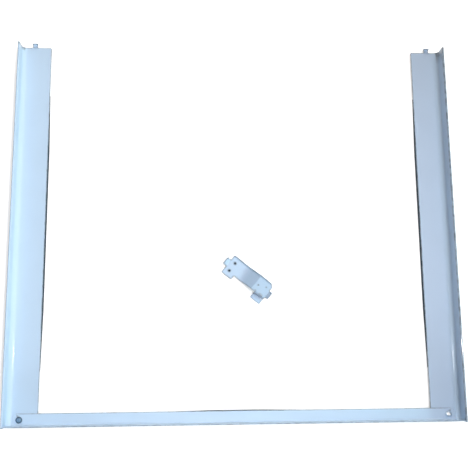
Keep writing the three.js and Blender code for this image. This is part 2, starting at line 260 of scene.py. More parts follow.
def folded(distance, steps, start=(0.0, 0.0), heading=0.0):
    """Place and heading along a folded line. Each step is a run and a turn: straight where the
    turn is zero, and otherwise an arc whose radius is the run divided by the turn."""
    at = np.array(start, float)
    x, z, angle = np.zeros_like(distance), np.zeros_like(distance), np.zeros_like(distance)
    done = 0.0
    for k, (run, turn) in enumerate(steps):
        here = (distance >= done) if k else np.ones(len(distance), bool)
        ahead = distance - done
        if turn == 0:
            bearing = np.full(len(distance), heading)
            px, pz = at[0] + ahead * math.cos(heading), at[1] + ahead * math.sin(heading)
            at = at + run * np.array([math.cos(heading), math.sin(heading)])
        else:
            radius = run / turn
            bearing = heading + ahead / radius
            px = at[0] + radius * (np.sin(bearing) - math.sin(heading))
            pz = at[1] - radius * (np.cos(bearing) - math.cos(heading))
            end = heading + turn
            swing = [math.sin(end) - math.sin(heading), math.cos(heading) - math.cos(end)]
            at = at + radius * np.array(swing)
            heading = end
        x, z, angle = np.where(here, px, x), np.where(here, pz, z), np.where(here, bearing, angle)
        done += run
    return x, z, angle


def arc(radius, turn):
    """A fold's step: an arc of a radius, turned left by a positive angle."""
    return (radius * abs(turn), turn)


def stations(steps, fine, coarse):
    """Distances along a fold at which it gets a row of points: fine on arcs, coarse on runs."""
    places, done = [np.zeros(1)], 0.0
    for run, turn in steps:
        count = max(1, math.ceil(run / (fine if turn else coarse)))
        places.append(done + run * np.arange(1, count + 1) / count)
        done += run
    return np.concatenate(places)


def sheet_surface(loops, rows_u, rows_v, thickness, edge, place):
    """Points, faces and distances to the edge of a folded sheet. The blank's outlines get a
    quarter circle above and one below, its two skins are triangulated over a grid of rows, and
    place puts blank coordinates and a height through the sheet into space."""
    turn = np.linspace(0, math.pi / 2, EDGE_STEPS + 1)
    insets = edge * (1 - np.sin(turn))
    heights = thickness / 2 - edge * (1 - np.cos(turn))
    insets, heights = np.r_[insets, insets[::-1]], np.r_[heights, -heights[::-1]]

    skin_loops = [moved_in(loop, edge) for loop in loops]
    grid = np.stack(np.meshgrid(rows_u, rows_v, indexing="ij"), -1).reshape(-1, 2)
    odd, near = covered(grid, skin_loops)
    inner = grid[odd & (near > edge)]
    skin = np.concatenate(skin_loops + [inner])
    counts = [len(loop) for loop in loops]
    starts = np.cumsum([0] + counts)
    total, border = len(skin), starts[-1]
    j = np.arange(border)
    follow = np.concatenate(
        [first + (np.arange(count) + 1) % count for first, count in zip(starts, counts)]
    )
    # Triangulated in millimetres, with the outlines as fixed sides
    limits = np.stack([j, follow], 1).tolist()
    places = [Vector(point) for point in (skin * 1000).tolist()]
    found = delaunay_2d_cdt(places, limits, [], 0, 1e-5, True)
    origin = np.array([sources[0] for sources in found[3]])
    tris = origin[np.array(found[2])]
    middles = skin[tris].mean(1)
    tris = tris[covered(middles, skin_loops)[0]]
    a, b, c = skin[tris[:, 0]], skin[tris[:, 1]], skin[tris[:, 2]]
    area = (b[:, 0] - a[:, 0]) * (c[:, 1] - a[:, 1]) - (b[:, 1] - a[:, 1]) * (c[:, 0] - a[:, 0])
    tris = np.where((area < 0)[:, None], tris[:, ::-1], tris)[abs(area) > 1e-15]

    blank, height, faces = [skin], [np.full(total, heights[0])], [tris]
    for inset, level in zip(insets[1:-1], heights[1:-1]):
        blank.append(np.concatenate([moved_in(loop, inset) for loop in loops]))
        height.append(np.full(border, level))
    blank.append(skin)
    height.append(np.full(total, heights[-1]))
    firsts = np.cumsum([0] + [len(part) for part in blank])[:-1]
    for upper, lower in zip(firsts[:-1], firsts[1:]):
        faces.append(np.stack([upper + j, lower + j, lower + follow, upper + follow], 1))
    faces.append(tris[:, ::-1] + firsts[-1])
    blank, height = np.concatenate(blank), np.concatenate(height)
    wear_and_shade_reach = covered(blank, loops)[1]
    return place(blank[:, 0], blank[:, 1], height), faces, wear_and_shade_reach


def put_attribute(mesh, name, values):
    """Gives a mesh's points a value each."""
    mesh.attributes.new(name, "FLOAT", "POINT").data.foreach_set("value", values)


def put_mesh(name, points, faces, wear_and_shade_reach, node, body, slot, mirrored=False):
    """Makes an object of points and faces at the origin, which rides and replaces a CAD node."""
    mesh = bpy.data.meshes.new(name)
    polygons = [face for part in faces for face in (part[:, ::-1] if mirrored else part).tolist()]
    mesh.from_pydata(points.tolist(), [], polygons)
    if wear_and_shade_reach is not None:
        put_attribute(mesh, "wear_and_shade_reach", wear_and_shade_reach)
    mesh.validate()
    mesh.polygons.foreach_set("use_smooth", np.ones(len(mesh.polygons), bool))
    mesh.set_sharp_from_angle(angle=SHARP_ANGLE)
    piece = bpy.data.objects.new(name, mesh)
    bpy.context.scene.collection.objects.link(piece)
    mesh.materials.append(bpy.data.materials[FINISHES[slot]])
    weighted = piece.modifiers.new("area weighted normals", "WEIGHTED_NORMAL")
    weighted.keep_sharp = True
    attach(piece, body)
    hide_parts(node)
    return piece


def cut_away(piece, tool_points, tool_faces):
    """Takes the room of a closed tool mesh out of a piece, and then removes the tool."""
    mesh = bpy.data.meshes.new("tool")
    mesh.from_pydata(tool_points.tolist(), [], [face for part in tool_faces for face in part.tolist()])
    tool = bpy.data.objects.new("tool", mesh)
    bpy.context.scene.collection.objects.link(tool)
    step = piece.modifiers.new("cut", "BOOLEAN")
    piece.modifiers.move(len(piece.modifiers) - 1, 0)
    step.operation, step.solver, step.object = "DIFFERENCE", "EXACT", tool
    # The cut is worked out alone, with the other modifiers hidden, and kept as the mesh
    hidden = [other for other in piece.modifiers if other != step]
    for other in hidden:
        other.show_viewport = False
    graph = bpy.context.evaluated_depsgraph_get()
    result = bpy.data.meshes.new_from_object(piece.evaluated_get(graph))
    for other in hidden:
        other.show_viewport = True
    piece.modifiers.remove(step)
    piece.data = result
    bpy.data.objects.remove(tool)
    result.polygons.foreach_set("use_smooth", np.ones(len(result.polygons), bool))
    result.set_sharp_from_angle(angle=SHARP_ANGLE)


def turned(radii, levels, ripple=None, steps=ROUND_STEPS):
    """Points and faces of a turned body on two parameters, the turn and the place along its
    profile. The radius may get a ripple, a function of the turn, level and ring; both ends close
    in a pole."""
    turn = np.arange(steps) * 2 * math.pi / steps
    ring, angle = np.meshgrid(np.arange(len(radii)), turn, indexing="ij")
    radius, level = np.asarray(radii)[ring], np.asarray(levels)[ring]
    if ripple is not None:
        radius = radius + ripple(angle, level, ring)
    points = np.stack([radius * np.cos(angle), radius * np.sin(angle), level], -1).reshape(-1, 3)
    follow = np.roll(np.arange(steps), -1)
    low = np.arange(len(radii) - 1)[:, None] * steps
    j = np.arange(steps)[None]
    quads = np.stack([low + j, low + follow[None], low + steps + follow[None], low + steps + j], -1)
    poles = np.array([[0, 0, levels[0]], [0, 0, levels[-1]]])
    bottom = np.stack([np.full(steps, len(points)), follow, np.arange(steps)], 1)
    last = (len(radii) - 1) * steps
    top = np.stack([np.full(steps, len(points) + 1), last + np.arange(steps), last + follow], 1)
    return np.concatenate([points, poles]), [quads.reshape(-1, 4), bottom, top]


# Finishes


def rgba(tint, share=1.0):
    """A colour's red, green and blue times a share, up to one, with an alpha of one."""
    return (*(min(1.0, share * part) for part in tint), 1.0)


def wire(tree, node, links=None, settings=None):
    """Sets a node's sockets to values, and links sources to them. A source is an output, or a
    node, which stands for its first output in use."""
    for key, value in (settings or {}).items():
        node.inputs[key].default_value = value
    for key, source in (links or {}).items():
        if isinstance(source, bpy.types.Node):
            source = next(output for output in source.outputs if output.enabled)
        tree.links.new(source, node.inputs[key])


def add_node(tree, kind, links=None, settings=None, **properties):
    """Adds a shader node of a kind, with its properties, sockets' values and incoming links."""
    node = tree.nodes.new("ShaderNode" + kind)
    for key, value in properties.items():
        setattr(node, key, value)
    wire(tree, node, links, settings)
    return node


def new_finish(name):
    """A material with a Principled shader and object coordinates, and its tree, shader and
    coordinates."""
    material = bpy.data.materials.new(name)
    material.use_nodes = True
    tree = material.node_tree
    shader = tree.nodes["Principled BSDF"]
    where = add_node(tree, "TexCoord").outputs["Object"]
    return tree, shader, where


def powder_coat(name, base, bare_and_shade, reach, raised_shade=None):
    """Polyester powder coat, sprayed on phosphated steel and stoved. It gives an even semi-gloss
    skin with a slight orange peel, a touch of unevenness in tone where the film is thicker or
    thinner, and cut edges on which the film draws back. There the bare steel begins to show, to
    a reach from the edge; the same bare tone is also laid as painted shade where the reach is set
    low away from cut edges. A darker copy of the coat, a painted shade, takes over on raised places."""
    tree, shader, where = new_finish(name)
    # Film thickness wanders over about 60 mm
    film = add_node(tree, "TexNoise", {"Vector": where}, {"Scale": 16.0, "Detail": 2.0})
    tone = add_node(
        tree, "MapRange", {"Value": film},
        {"From Min": 0.3, "From Max": 0.7, "To Min": 0.0, "To Max": 1.0},
    )
    skin = add_node(
        tree, "Mix", {"Factor": tone}, {"A": rgba(base, 0.965), "B": rgba(base)}, data_type="RGBA"
    )
    if raised_shade:
        # Painted shade: the coat turns to its darker copy from 3.5 to 6.5 mm above the floor, on the
        # clip's higher parts
        level = add_node(tree, "SeparateXYZ", {"Vector": where}).outputs["Z"]
        raised = add_node(
            tree, "MapRange", {"Value": level}, {"From Min": 3.5 * MM, "From Max": 6.5 * MM}
        )
        skin = add_node(
            tree, "Mix", {"Factor": raised, "A": skin}, {"B": rgba(raised_shade)}, data_type="RGBA"
        )
    # Pinched film on the last millimetre before a cut edge, in patches of about 8 mm. The same mix
    # lays the bare tone as painted shade where the reach is set low away from cut edges
    edge = add_node(tree, "Attribute", attribute_name="wear_and_shade_reach")
    near = add_node(
        tree, "MapRange", {"Value": edge.outputs["Fac"]},
        {"From Min": 0.3 * reach, "From Max": reach, "To Min": 1.0, "To Max": 0.0},
    )
    patch = add_node(tree, "TexNoise", {"Vector": where}, {"Scale": 120.0, "Detail": 3.0})
    chosen = add_node(
        tree, "MapRange", {"Value": patch},
        {"From Min": 0.45, "From Max": 0.62, "To Min": 0.5, "To Max": 0.85},
    )
    worn_and_shaded = add_node(tree, "Math", {0: near, 1: chosen}, operation="MULTIPLY")
    skin = add_node(tree, "Mix", {"Factor": worn_and_shaded, "A": skin}, {"B": rgba(bare_and_shade)}, data_type="RGBA")
    # Orange peel of 1.6 mm, drawn at 3 mm so that it shows in the render, over a wave of 25 mm
    peel = add_node(tree, "TexNoise", {"Vector": where}, {"Scale": 330.0, "Detail": 2.0})
    wave = add_node(tree, "TexNoise", {"Vector": where}, {"Scale": 40.0, "Detail": 1.0})
    slow = add_node(tree, "Bump", {"Height": wave}, {"Strength": 0.25, "Distance": 0.4 * MM})
    bump = add_node(
        tree, "Bump", {"Height": peel, "Normal": slow}, {"Strength": 0.35, "Distance": 0.05 * MM}
    )
    rough = add_node(
        tree, "MapRange", {"Value": peel},
        {"From Min": 0.3, "From Max": 0.7, "To Min": 0.36, "To Max": 0.46},
    )
    # The coat is the resin's skin over the pigment, which gives small sharp glints
    wire(
        tree, shader, {"Base Color": skin, "Normal": bump, "Roughness": rough},
        {"IOR": 1.5, "Coat Weight": 0.6, "Coat Roughness": 0.07},
    )


def zinc_plate(name, base, low, high):
    """Zinc-plated steel, barrel plated after cold heading. It gives a metallic sheen that is
    broken up by tumbling scratches and slightly uneven passivation."""
    tree, shader, where = new_finish(name)
    # Passivation in clouds of about 2 mm
    cloud = add_node(tree, "TexNoise", {"Vector": where}, {"Scale": 500.0, "Detail": 3.0})
    tint = add_node(
        tree, "Mix", {"Factor": cloud}, {"A": rgba(base, 0.82), "B": rgba(base)}, data_type="RGBA"
    )
    # Painted highlight: the crown of the screws is made brighter in colour
    crown_highlight = add_node(tree, "Attribute", attribute_name="crown_highlight")
    tint = add_node(
        tree, "Mix", {"Factor": crown_highlight.outputs["Fac"], "A": tint},
        {"B": rgba(base, 2.2)}, data_type="RGBA",
    )
    # Tumbling marks of about 0.3 mm
    marks = add_node(
        tree, "TexVoronoi", {"Vector": where}, {"Scale": 3000.0}, feature="DISTANCE_TO_EDGE"
    )
    bump = add_node(tree, "Bump", {"Height": marks}, {"Strength": 0.2, "Distance": 0.03 * MM})
    rough = add_node(
        tree, "MapRange", {"Value": cloud},
        {"From Min": 0.3, "From Max": 0.7, "To Min": low, "To Max": high},
    )
    wire(tree, shader, {"Base Color": tint, "Normal": bump, "Roughness": rough}, {"Metallic": 1.0})


def cell_rubber(name, base):
    """Closed-cell EPDM rubber, cut from an extruded strip. It gives a matt near-black skin with
    fine open cells on its cut faces and a little grey dust."""
    tree, shader, where = new_finish(name)
    # Cells of about 0.8 mm
    cells = add_node(tree, "TexVoronoi", {"Vector": where}, {"Scale": 1200.0})
    dust = add_node(tree, "TexNoise", {"Vector": where}, {"Scale": 90.0, "Detail": 4.0})
    dusty = [1.5 * part + 0.01 for part in base]
    skin = add_node(
        tree, "Mix", {"Factor": dust}, {"A": rgba(base), "B": rgba(dusty)}, data_type="RGBA"
    )
    bump = add_node(tree, "Bump", {"Height": cells}, {"Strength": 0.6, "Distance": 0.2 * MM})
    rough = add_node(tree, "MapRange", {"Value": dust}, {"To Min": 0.85, "To Max": 0.98})
    wire(tree, shader, {"Base Color": skin, "Normal": bump, "Roughness": rough}, {"IOR": 1.52})


def seen_rays(tree):
    """One for camera, glossy and transmission rays, and zero for rays that light the object."""
    path = add_node(tree, "LightPath").outputs
    total = add_node(
        tree, "Math", {0: path["Is Camera Ray"], 1: path["Is Glossy Ray"]}, operation="ADD"
    )
    total = add_node(
        tree, "Math", {0: total, 1: path["Is Transmission Ray"]}, operation="ADD", use_clamp=True
    )
    return total


def seamless_paper(name, base):
    """Seamless white studio paper, matt and slightly fibrous. For the camera it is lifted to
    white, and it keeps the object's shadow."""
    tree, shader, where = new_finish(name)
    fibre = add_node(tree, "TexNoise", {"Vector": where}, {"Scale": 300.0, "Detail": 4.0})
    tone = add_node(
        tree, "Mix", {"Factor": fibre}, {"A": rgba(base, 0.985), "B": rgba(base)}, data_type="RGBA"
    )
    wire(tree, shader, {"Base Color": tone}, {"Roughness": 1.0, "Specular IOR Level": 0.0})
    # The lift fades where ambient occlusion is low, which lays a painted contact shade on the paper
    # close to the object
    open_sky = add_node(tree, "AmbientOcclusion", None, {"Distance": 30 * MM}, samples=8)
    lift = add_node(
        tree, "Math", {0: seen_rays(tree), 1: open_sky.outputs["AO"]}, operation="MULTIPLY"
    )
    lift = add_node(tree, "Math", {0: lift}, {1: FLOOR_LIFT}, operation="MULTIPLY")
    glow = add_node(tree, "Emission", {"Strength": lift})
    both = add_node(tree, "AddShader", {0: shader, 1: glow})
    wire(tree, tree.nodes["Material Output"], {"Surface": both})


# How far the paper is lifted to white where it is seen, not where it lights the object
FLOOR_LIFT = 0.95
# The world's light on the object and its tint
AMBIENT = 0.13
AMBIENT_TINT = (0.73, 0.74, 1.0, 1.0)
# The side on which the room is bright in gloss
BRIGHT_SIDE = (0.45, -0.1, 0.89)
# Where the camera stands, its tilt, yaw and roll in degrees, and its lens in millimetres, all
# fitted to the rails' edges in the photograph
CAMERA_PLACE = (-0.0503, -0.1718, 0.9311)
CAMERA_ANGLES = (10.26, -17.24, 16.94)
CAMERA_LENS = 52.85
# Each lamp's kind, place, target, power in watts and tint, whether it shows in gloss alone, and
# its shape
TARGET = (-0.14, -0.05, 0)
WIDE = {"shape": "RECTANGLE", "size": 0.8, "size_y": 0.3}
LAMPS = {
    "key": (
        "SPOT", (0.45, -0.1, 1.9), TARGET, 91.0, (0.93, 0.98, 1.0), False,
        {"spot_size": math.radians(40), "spot_blend": 1.0, "shadow_soft_size": 0.12},
    ),
    "side": (
        "SPOT", (0.95, 0.15, 1.7), TARGET, 24.0, (1.0, 0.82, 0.94), False,
        {"spot_size": math.radians(42), "spot_blend": 1.0, "shadow_soft_size": 0.12},
    ),
    "window": ("AREA", (1.7, -0.3, 0.66), (-0.1, 0, 0), 15.6, (0.68, 0.93, 0.8), False, WIDE),
    "back": ("AREA", (0.0, 1.7, 0.7), (0, 0, 0), 14.5, (1.0, 0.85, 0.65), False, WIDE),
    "fill": ("AREA", (0.1, -1.6, 0.35), (0, 0, 0), 8.0, (1.0, 0.95, 0.9), False, WIDE),
    "flash": (
        "AREA", (-0.05, -0.175, 0.95), (0, -0.02, 0), 1.7, (1.0, 1.0, 1.0), True,
        {"shape": "RECTANGLE", "size": 0.2, "size_y": 0.04},
    ),
}


class KIT_OT_finishes(bpy.types.Operator):
    """Makes the finishes: powder coats, zinc plates, rubber and the floor's paper."""

    bl_idname = "kit.finishes"
    bl_label = "Finishes"

    def execute(self, context):
        kit = context.scene.kit_finish
        bare_and_shade = kit.bare_steel_and_shade
        powder_coat(FINISHES["rail_paint"], kit.rail_paint, bare_and_shade, 1.15 * MM)
        powder_coat(FINISHES["clip_paint"], kit.clip_paint, bare_and_shade, 1.7 * MM, kit.raised_shade_paint)
        zinc_plate(FINISHES["bright_zinc"], kit.bright_zinc, 0.26, 0.38)
        zinc_plate(FINISHES["dark_zinc"], kit.dark_zinc, 0.3, 0.46)
        cell_rubber(FINISHES["rubber"], kit.rubber)
        seamless_paper(PAPER, kit.paper)
        return {"FINISHED"}


class KIT_OT_side_rails(bpy.types.Operator):
    """Builds both side rails: web, cove, upright flange and folded hem, with the hook lug."""

    bl_idname = "kit.side_rails"
    bl_label = "Side rails"

    def execute(self, context):
        size = context.scene.kit_sizes
        half = size.sheet / 2
        cove_foot = OUTER_X - size.hem - size.cove - INNER_X
        web_top = WEB_UNDER + size.sheet
        rise = FLANGE_TOP - web_top - size.cove - size.hem / 2
        steps = [
            (cove_foot, 0.0),
            arc(size.cove + half, math.pi / 2),
            (rise, 0.0),
            arc((size.hem - size.sheet) / 2, -math.pi),
            (size.hem_leg - size.hem / 2, 0.0),
        ]
        girth = sum(run for run, _ in steps)
        rear = size.rail
        reach = RAIL_HIGH[1] - FRONT_Y - size.rail
        lug = OUTER_X - size.lug_place - INNER_X
        # The lug's blank: a neck, then a head that is folded up into the lip
        lug_bend = 1.2 * MM
        fold_start = rear + reach - half - lug_bend
        lug_steps = [
            (fold_start, 0.0),
            arc(lug_bend, math.pi / 2),
            (size.lug_lip + half - lug_bend, 0.0),
        ]
        lug_end = sum(run for run, _ in lug_steps)
        head_start = fold_start + lug_bend * math.pi / 4
        neck, head = size.lug_neck / 2, size.lug_head / 2
        corners = [
            (0, 0), (girth, 0), (girth, rear), (lug + neck, rear),
            (lug + neck, head_start), (lug + head, head_start), (lug + head, lug_end),
            (lug - head, lug_end), (lug - head, head_start), (lug - neck, head_start),
            (lug - neck, rear), (0, rear),
        ]
        radii = np.array([1.0, 0.6, 0.6, 0.8, 0.2, 0.3, 0.9, 0.9, 0.3, 0.2, 0.8, 1.0]) * MM
        row = 9 * MM
        outline = spaced(rounded(corners, radii), 0.6 * MM, row)
        hole = circle((SCREW_X - INNER_X, SCREW_Y - FRONT_Y), size.hole / 2)
        # The front rail's seat ends in a ramp
        seat_end = FRONT_HIGH[1] - FRONT_Y + size.clearance
        ramp = 0.12 * MM

        def place(u, v, height):
            """Seat first, then the fold along the rail, then the lug's fold."""
            seat = np.clip((seat_end - v) / ramp, 0, 1) * np.clip((cove_foot - u) / ramp, 0, 1)
            height = -half + (height + half) * (1 - seat * size.seat / size.sheet)
            x, z, angle = folded(u, steps)
            y, lift, lug_angle = folded(v, lug_steps)
            in_lug = v > rear
            x = INNER_X + x - height * np.sin(angle)
            y = np.where(in_lug, y - height * np.sin(lug_angle), v)
            z = np.where(in_lug, lift + height * np.cos(lug_angle), z + height * np.cos(angle))
            return np.stack([x, FRONT_Y + y, WEB_UNDER + half + z], 1)

        rows_u = np.unique(np.r_[stations(steps, 0.7 * MM, 5 * MM), cove_foot - ramp])
        # Rows in step with the outline's own points, so that no triangle reaches past a row, and
        # closer ones at the rear end and over the lug
        end = radii[1]
        rows_v = np.linspace(end, rear - end, math.ceil((rear - 2 * end) / row) + 1)
        rear_rows = rear - np.array([7, 5, 3.5, 2.2]) * MM
        lug_rows = np.arange(rear - 1 * MM, lug_end, 0.5 * MM)
        rows_v = np.unique(np.r_[rows_v, seat_end, seat_end - ramp, rear_rows, lug_rows])
        points, faces, near = sheet_surface(
            [outline, hole], rows_u, rows_v, size.sheet, size.edge, place
        )
        # Painted shade in the bare tone on the flanges' rear ends, reaching further on the right one,
        # and along the right rail's rim
        _, y, z = points.T
        rear_shade_reach = np.where(z < web_top + 1 * MM, np.inf, FRONT_Y + rear - y)
        wear_and_shade_reach = {
            "left": np.minimum(near, 0.2 * rear_shade_reach),
            "right": np.minimum(np.minimum(near, 0.4 * (FLANGE_TOP - z)), 0.06 * rear_shade_reach),
        }
        for word, side in SIDES.items():
            node = f"side_rail_{word}"
            put_mesh(
                f"{node}_pressed", points * (side, 1, 1), faces, wear_and_shade_reach[word],
                node, "frame", "rail_paint", mirrored=side < 0,
            )
        return {"FINISHED"}


class KIT_OT_front_rail(bpy.types.Operator):
    """Builds the front rail: a base that lies on the webs and an upright front flange."""

    bl_idname = "kit.front_rail"
    bl_label = "Front rail"

    def execute(self, context):
        size = context.scene.kit_sizes
        half = size.sheet / 2
        depth = FRONT_HIGH[1] - FRONT_LOW[1]
        rise = FRONT_HIGH[2] - FRONT_LOW[2] - size.sheet - size.bend
        steps = [
            (depth - size.sheet - size.bend, 0.0),
            arc(size.bend + half, math.pi / 2),
            (rise, 0.0),
        ]
        girth = sum(run for run, _ in steps)
        base_end = OUTER_X - size.hem - size.cove - size.clearance
        flange_end = FRONT_HIGH[0]
        # The flange runs on past the base above the coves
        notch = steps[0][0] + steps[1][0] + size.cove + size.clearance - size.bend - size.sheet
        right = [
            (base_end - size.chamfer, 0), (base_end, -size.chamfer), (base_end, -notch),
            (flange_end, -notch), (flange_end, -girth),
        ]
        corners = [(-u, v) for u, v in right] + right[::-1]
        radii = np.array([0.8, 0.8, 0.6, 0.6, 1.0] + [1.0, 0.6, 0.6, 0.8, 0.8]) * MM
        outline = spaced(rounded(corners, radii), 9 * MM, 0.6 * MM)
        hole_v = -(FRONT_HIGH[1] - SCREW_Y)
        holes = [circle((side * SCREW_X, hole_v), size.hole / 2) for side in SIDES.values()]

        def place(u, v, height):
            """The fold across the rail, walked from the inner edge to the flange's top."""
            y, z, angle = folded(-v, steps)
            y = FRONT_HIGH[1] - (y - height * np.sin(angle))
            return np.stack([u, y, FRONT_LOW[2] + half + z + height * np.cos(angle)], 1)

        rows_v = -stations(steps, 0.4 * MM, 2 * MM)
        rows_u = np.linspace(-flange_end, flange_end, 66)
        points, faces, near = sheet_surface(
            [outline] + holes, rows_u, rows_v, size.sheet, size.edge, place
        )
        # Nothing rubs the base's two corners, which lie sheltered beside the coves
        sheltered = abs(points[:, 0]) > base_end - size.chamfer - 1 * MM
        wear_and_shade_reach = near + np.where(sheltered, 0.7 * MM, 0)
        put_mesh(
            "front_rail_pressed", points, faces, wear_and_shade_reach, "front_rail", "frame", "rail_paint"
        )
        return {"FINISHED"}


class KIT_OT_corner_fixings(bpy.types.Operator):
    """Turns the two pan head screws, with thread and cross recess, and their press nuts."""

    bl_idname = "kit.corner_fixings"
    bl_label = "Corner fixings"

    def execute(self, context):
        size = context.scene.kit_sizes
        head = size.head / 2
        top, tip = SCREW_HIGH[2], SCREW_LOW[2]
        # The head clears the front rail's base by 0.1 mm
        seat = FRONT_LOW[2] + size.sheet + 0.1 * MM
        shoulder = seat + size.head_edge
        dome_rise = top - shoulder
        dome = (head**2 + dome_rise**2) / (2 * dome_rise)
        thread_depth = 0.43 * MM
        core = size.thread / 2 - thread_depth

        # Profile from the tip to the crown: chamfered point, thread, head's underside and dome
        rings = 72
        rise = np.linspace(0, 1, rings)
        thread_levels = tip + 0.3 * MM + (seat - tip - 0.5 * MM) * rise
        lip = np.linspace(0, math.pi / 2, 6)
        lip_round = 0.25 * MM
        angle = np.linspace(math.asin(head * 0.985 / dome), 0.02, 14)
        radii = np.r_[
            core * 0.75, core, np.full(rings, core), core + thread_depth / 2,
            head - lip_round, head - lip_round + lip_round * np.sin(lip),
            np.full(3, head), dome * np.sin(angle),
        ]
        levels = np.r_[
            tip, tip + 0.25 * MM, thread_levels, seat - 0.02 * MM,
            seat, seat + lip_round * (1 - np.cos(lip)),
            np.linspace(seat + 0.4 * MM, shoulder - 0.05 * MM, 3), top - dome * (1 - np.cos(angle)),
        ]
        # The thread runs out over the first and last ninth of its length
        thread_ring = np.zeros(len(radii))
        thread_ring[2 : 2 + rings] = np.clip(np.minimum(rise, 1 - rise) * 9, 0, 1)

        def thread(turn, level, ring):
            """Ridge height: a triangle wave of the level in pitches less the turn's share."""
            phase = (level / size.pitch - turn / (2 * math.pi)) % 1
            return thread_ring[ring] * thread_depth * (1 - abs(2 * phase - 1))

        points, faces = turned(radii, levels, thread)
        # The cross recess: an outline of four arms that narrows from above the crown to a floor
        span, arm, floor = size.recess / 2, size.recess_arm / 2, top - size.recess_depth
        quarter = np.array([(span, -arm), (span, arm), (arm, arm)])
        angles = np.arange(4) * math.pi / 2
        turns = [np.array([[math.cos(a), -math.sin(a)], [math.sin(a), math.cos(a)]]) for a in angles]
        cross = np.concatenate([quarter @ matrix.T for matrix in turns])
        shares = [(1.12, top + 1 * MM), (1.0, top - 0.15 * MM), (0.45, floor)]
        recess = np.concatenate(
            [np.column_stack([cross * share, np.full(12, level)]) for share, level in shares]
        )
        j = np.arange(12)
        follow = np.roll(j, -1)
        walls = [np.stack([a + j, a + 12 + j, a + 12 + follow, a + follow], 1) for a in (0, 12)]
        recess_faces = [j[None], *walls, (24 + j[::-1])[None]]
        for word, side in SIDES.items():
            node = f"corner_screw_{word}"
            slot = "dark_zinc" if side < 0 else "bright_zinc"
            # Each screw stopped at its own angle when it was tightened
            stop = np.array(Matrix.Rotation(math.radians(24 if side < 0 else 61), 3, "Z")).T
            axis = (side * SCREW_X, SCREW_Y, 0)
            piece = put_mesh(
                f"{node}_turned", points @ stop + axis, faces, None, node, "frame", slot
            )
            cut_away(piece, recess @ stop + axis, recess_faces)
            corners = np.zeros(3 * len(piece.data.vertices))
            piece.data.vertices.foreach_get("co", corners)
            x, y, z = corners.reshape(-1, 3).T
            off = np.hypot(x - side * SCREW_X, y - SCREW_Y)
            # Painted highlight within 2.3 mm of the axis, fading out at 2.9 mm
            crown_highlight = np.clip((2.9 * MM - off) / (0.6 * MM), 0, 1) * (z > seat)
            put_attribute(piece.data, "crown_highlight", crown_highlight)

        # Round press nut: a chamfered ring with a serrated rim, pressed into the web from below
        low, high = NUT_LOW[2], NUT_HIGH[2]
        rim = (NUT_HIGH[0] - NUT_LOW[0]) / 2
        bore = 1.9 * MM
        cut = 0.3 * MM
        ring_r = np.array([bore + cut, rim - cut, rim, rim, rim - cut, bore + cut, bore, bore])
        ring_z = np.array([low, low, low + cut, high - cut, high, high, high - cut, low + cut])
        steps, teeth = 96, 24
        around = np.arange(steps) * 2 * math.pi / steps
        k, angle = np.meshgrid(np.arange(8), around, indexing="ij")
        serrated = np.isin(k, (2, 3)) * 0.12 * MM * (np.cos(teeth * angle) - 1) / 2
        radius = ring_r[k] + serrated
        x, y = radius * np.cos(angle), radius * np.sin(angle)
        points = np.stack([x, y, ring_z[k]], -1).reshape(-1, 3)
        j, follow = np.arange(steps)[None], (np.arange(steps)[None] + 1) % steps
        ring = np.arange(8)[:, None] * steps
        after = np.roll(ring, -1, 0)
        quads = np.stack([ring + j, ring + follow, after + follow, after + j], -1).reshape(-1, 4)
        for word, side in SIDES.items():
            node = f"corner_nut_{word}"
            place = points + (side * SCREW_X, SCREW_Y, 0)
            put_mesh(f"{node}_pressed", place, [quads], None, node, "frame", "bright_zinc")
        return {"FINISHED"}


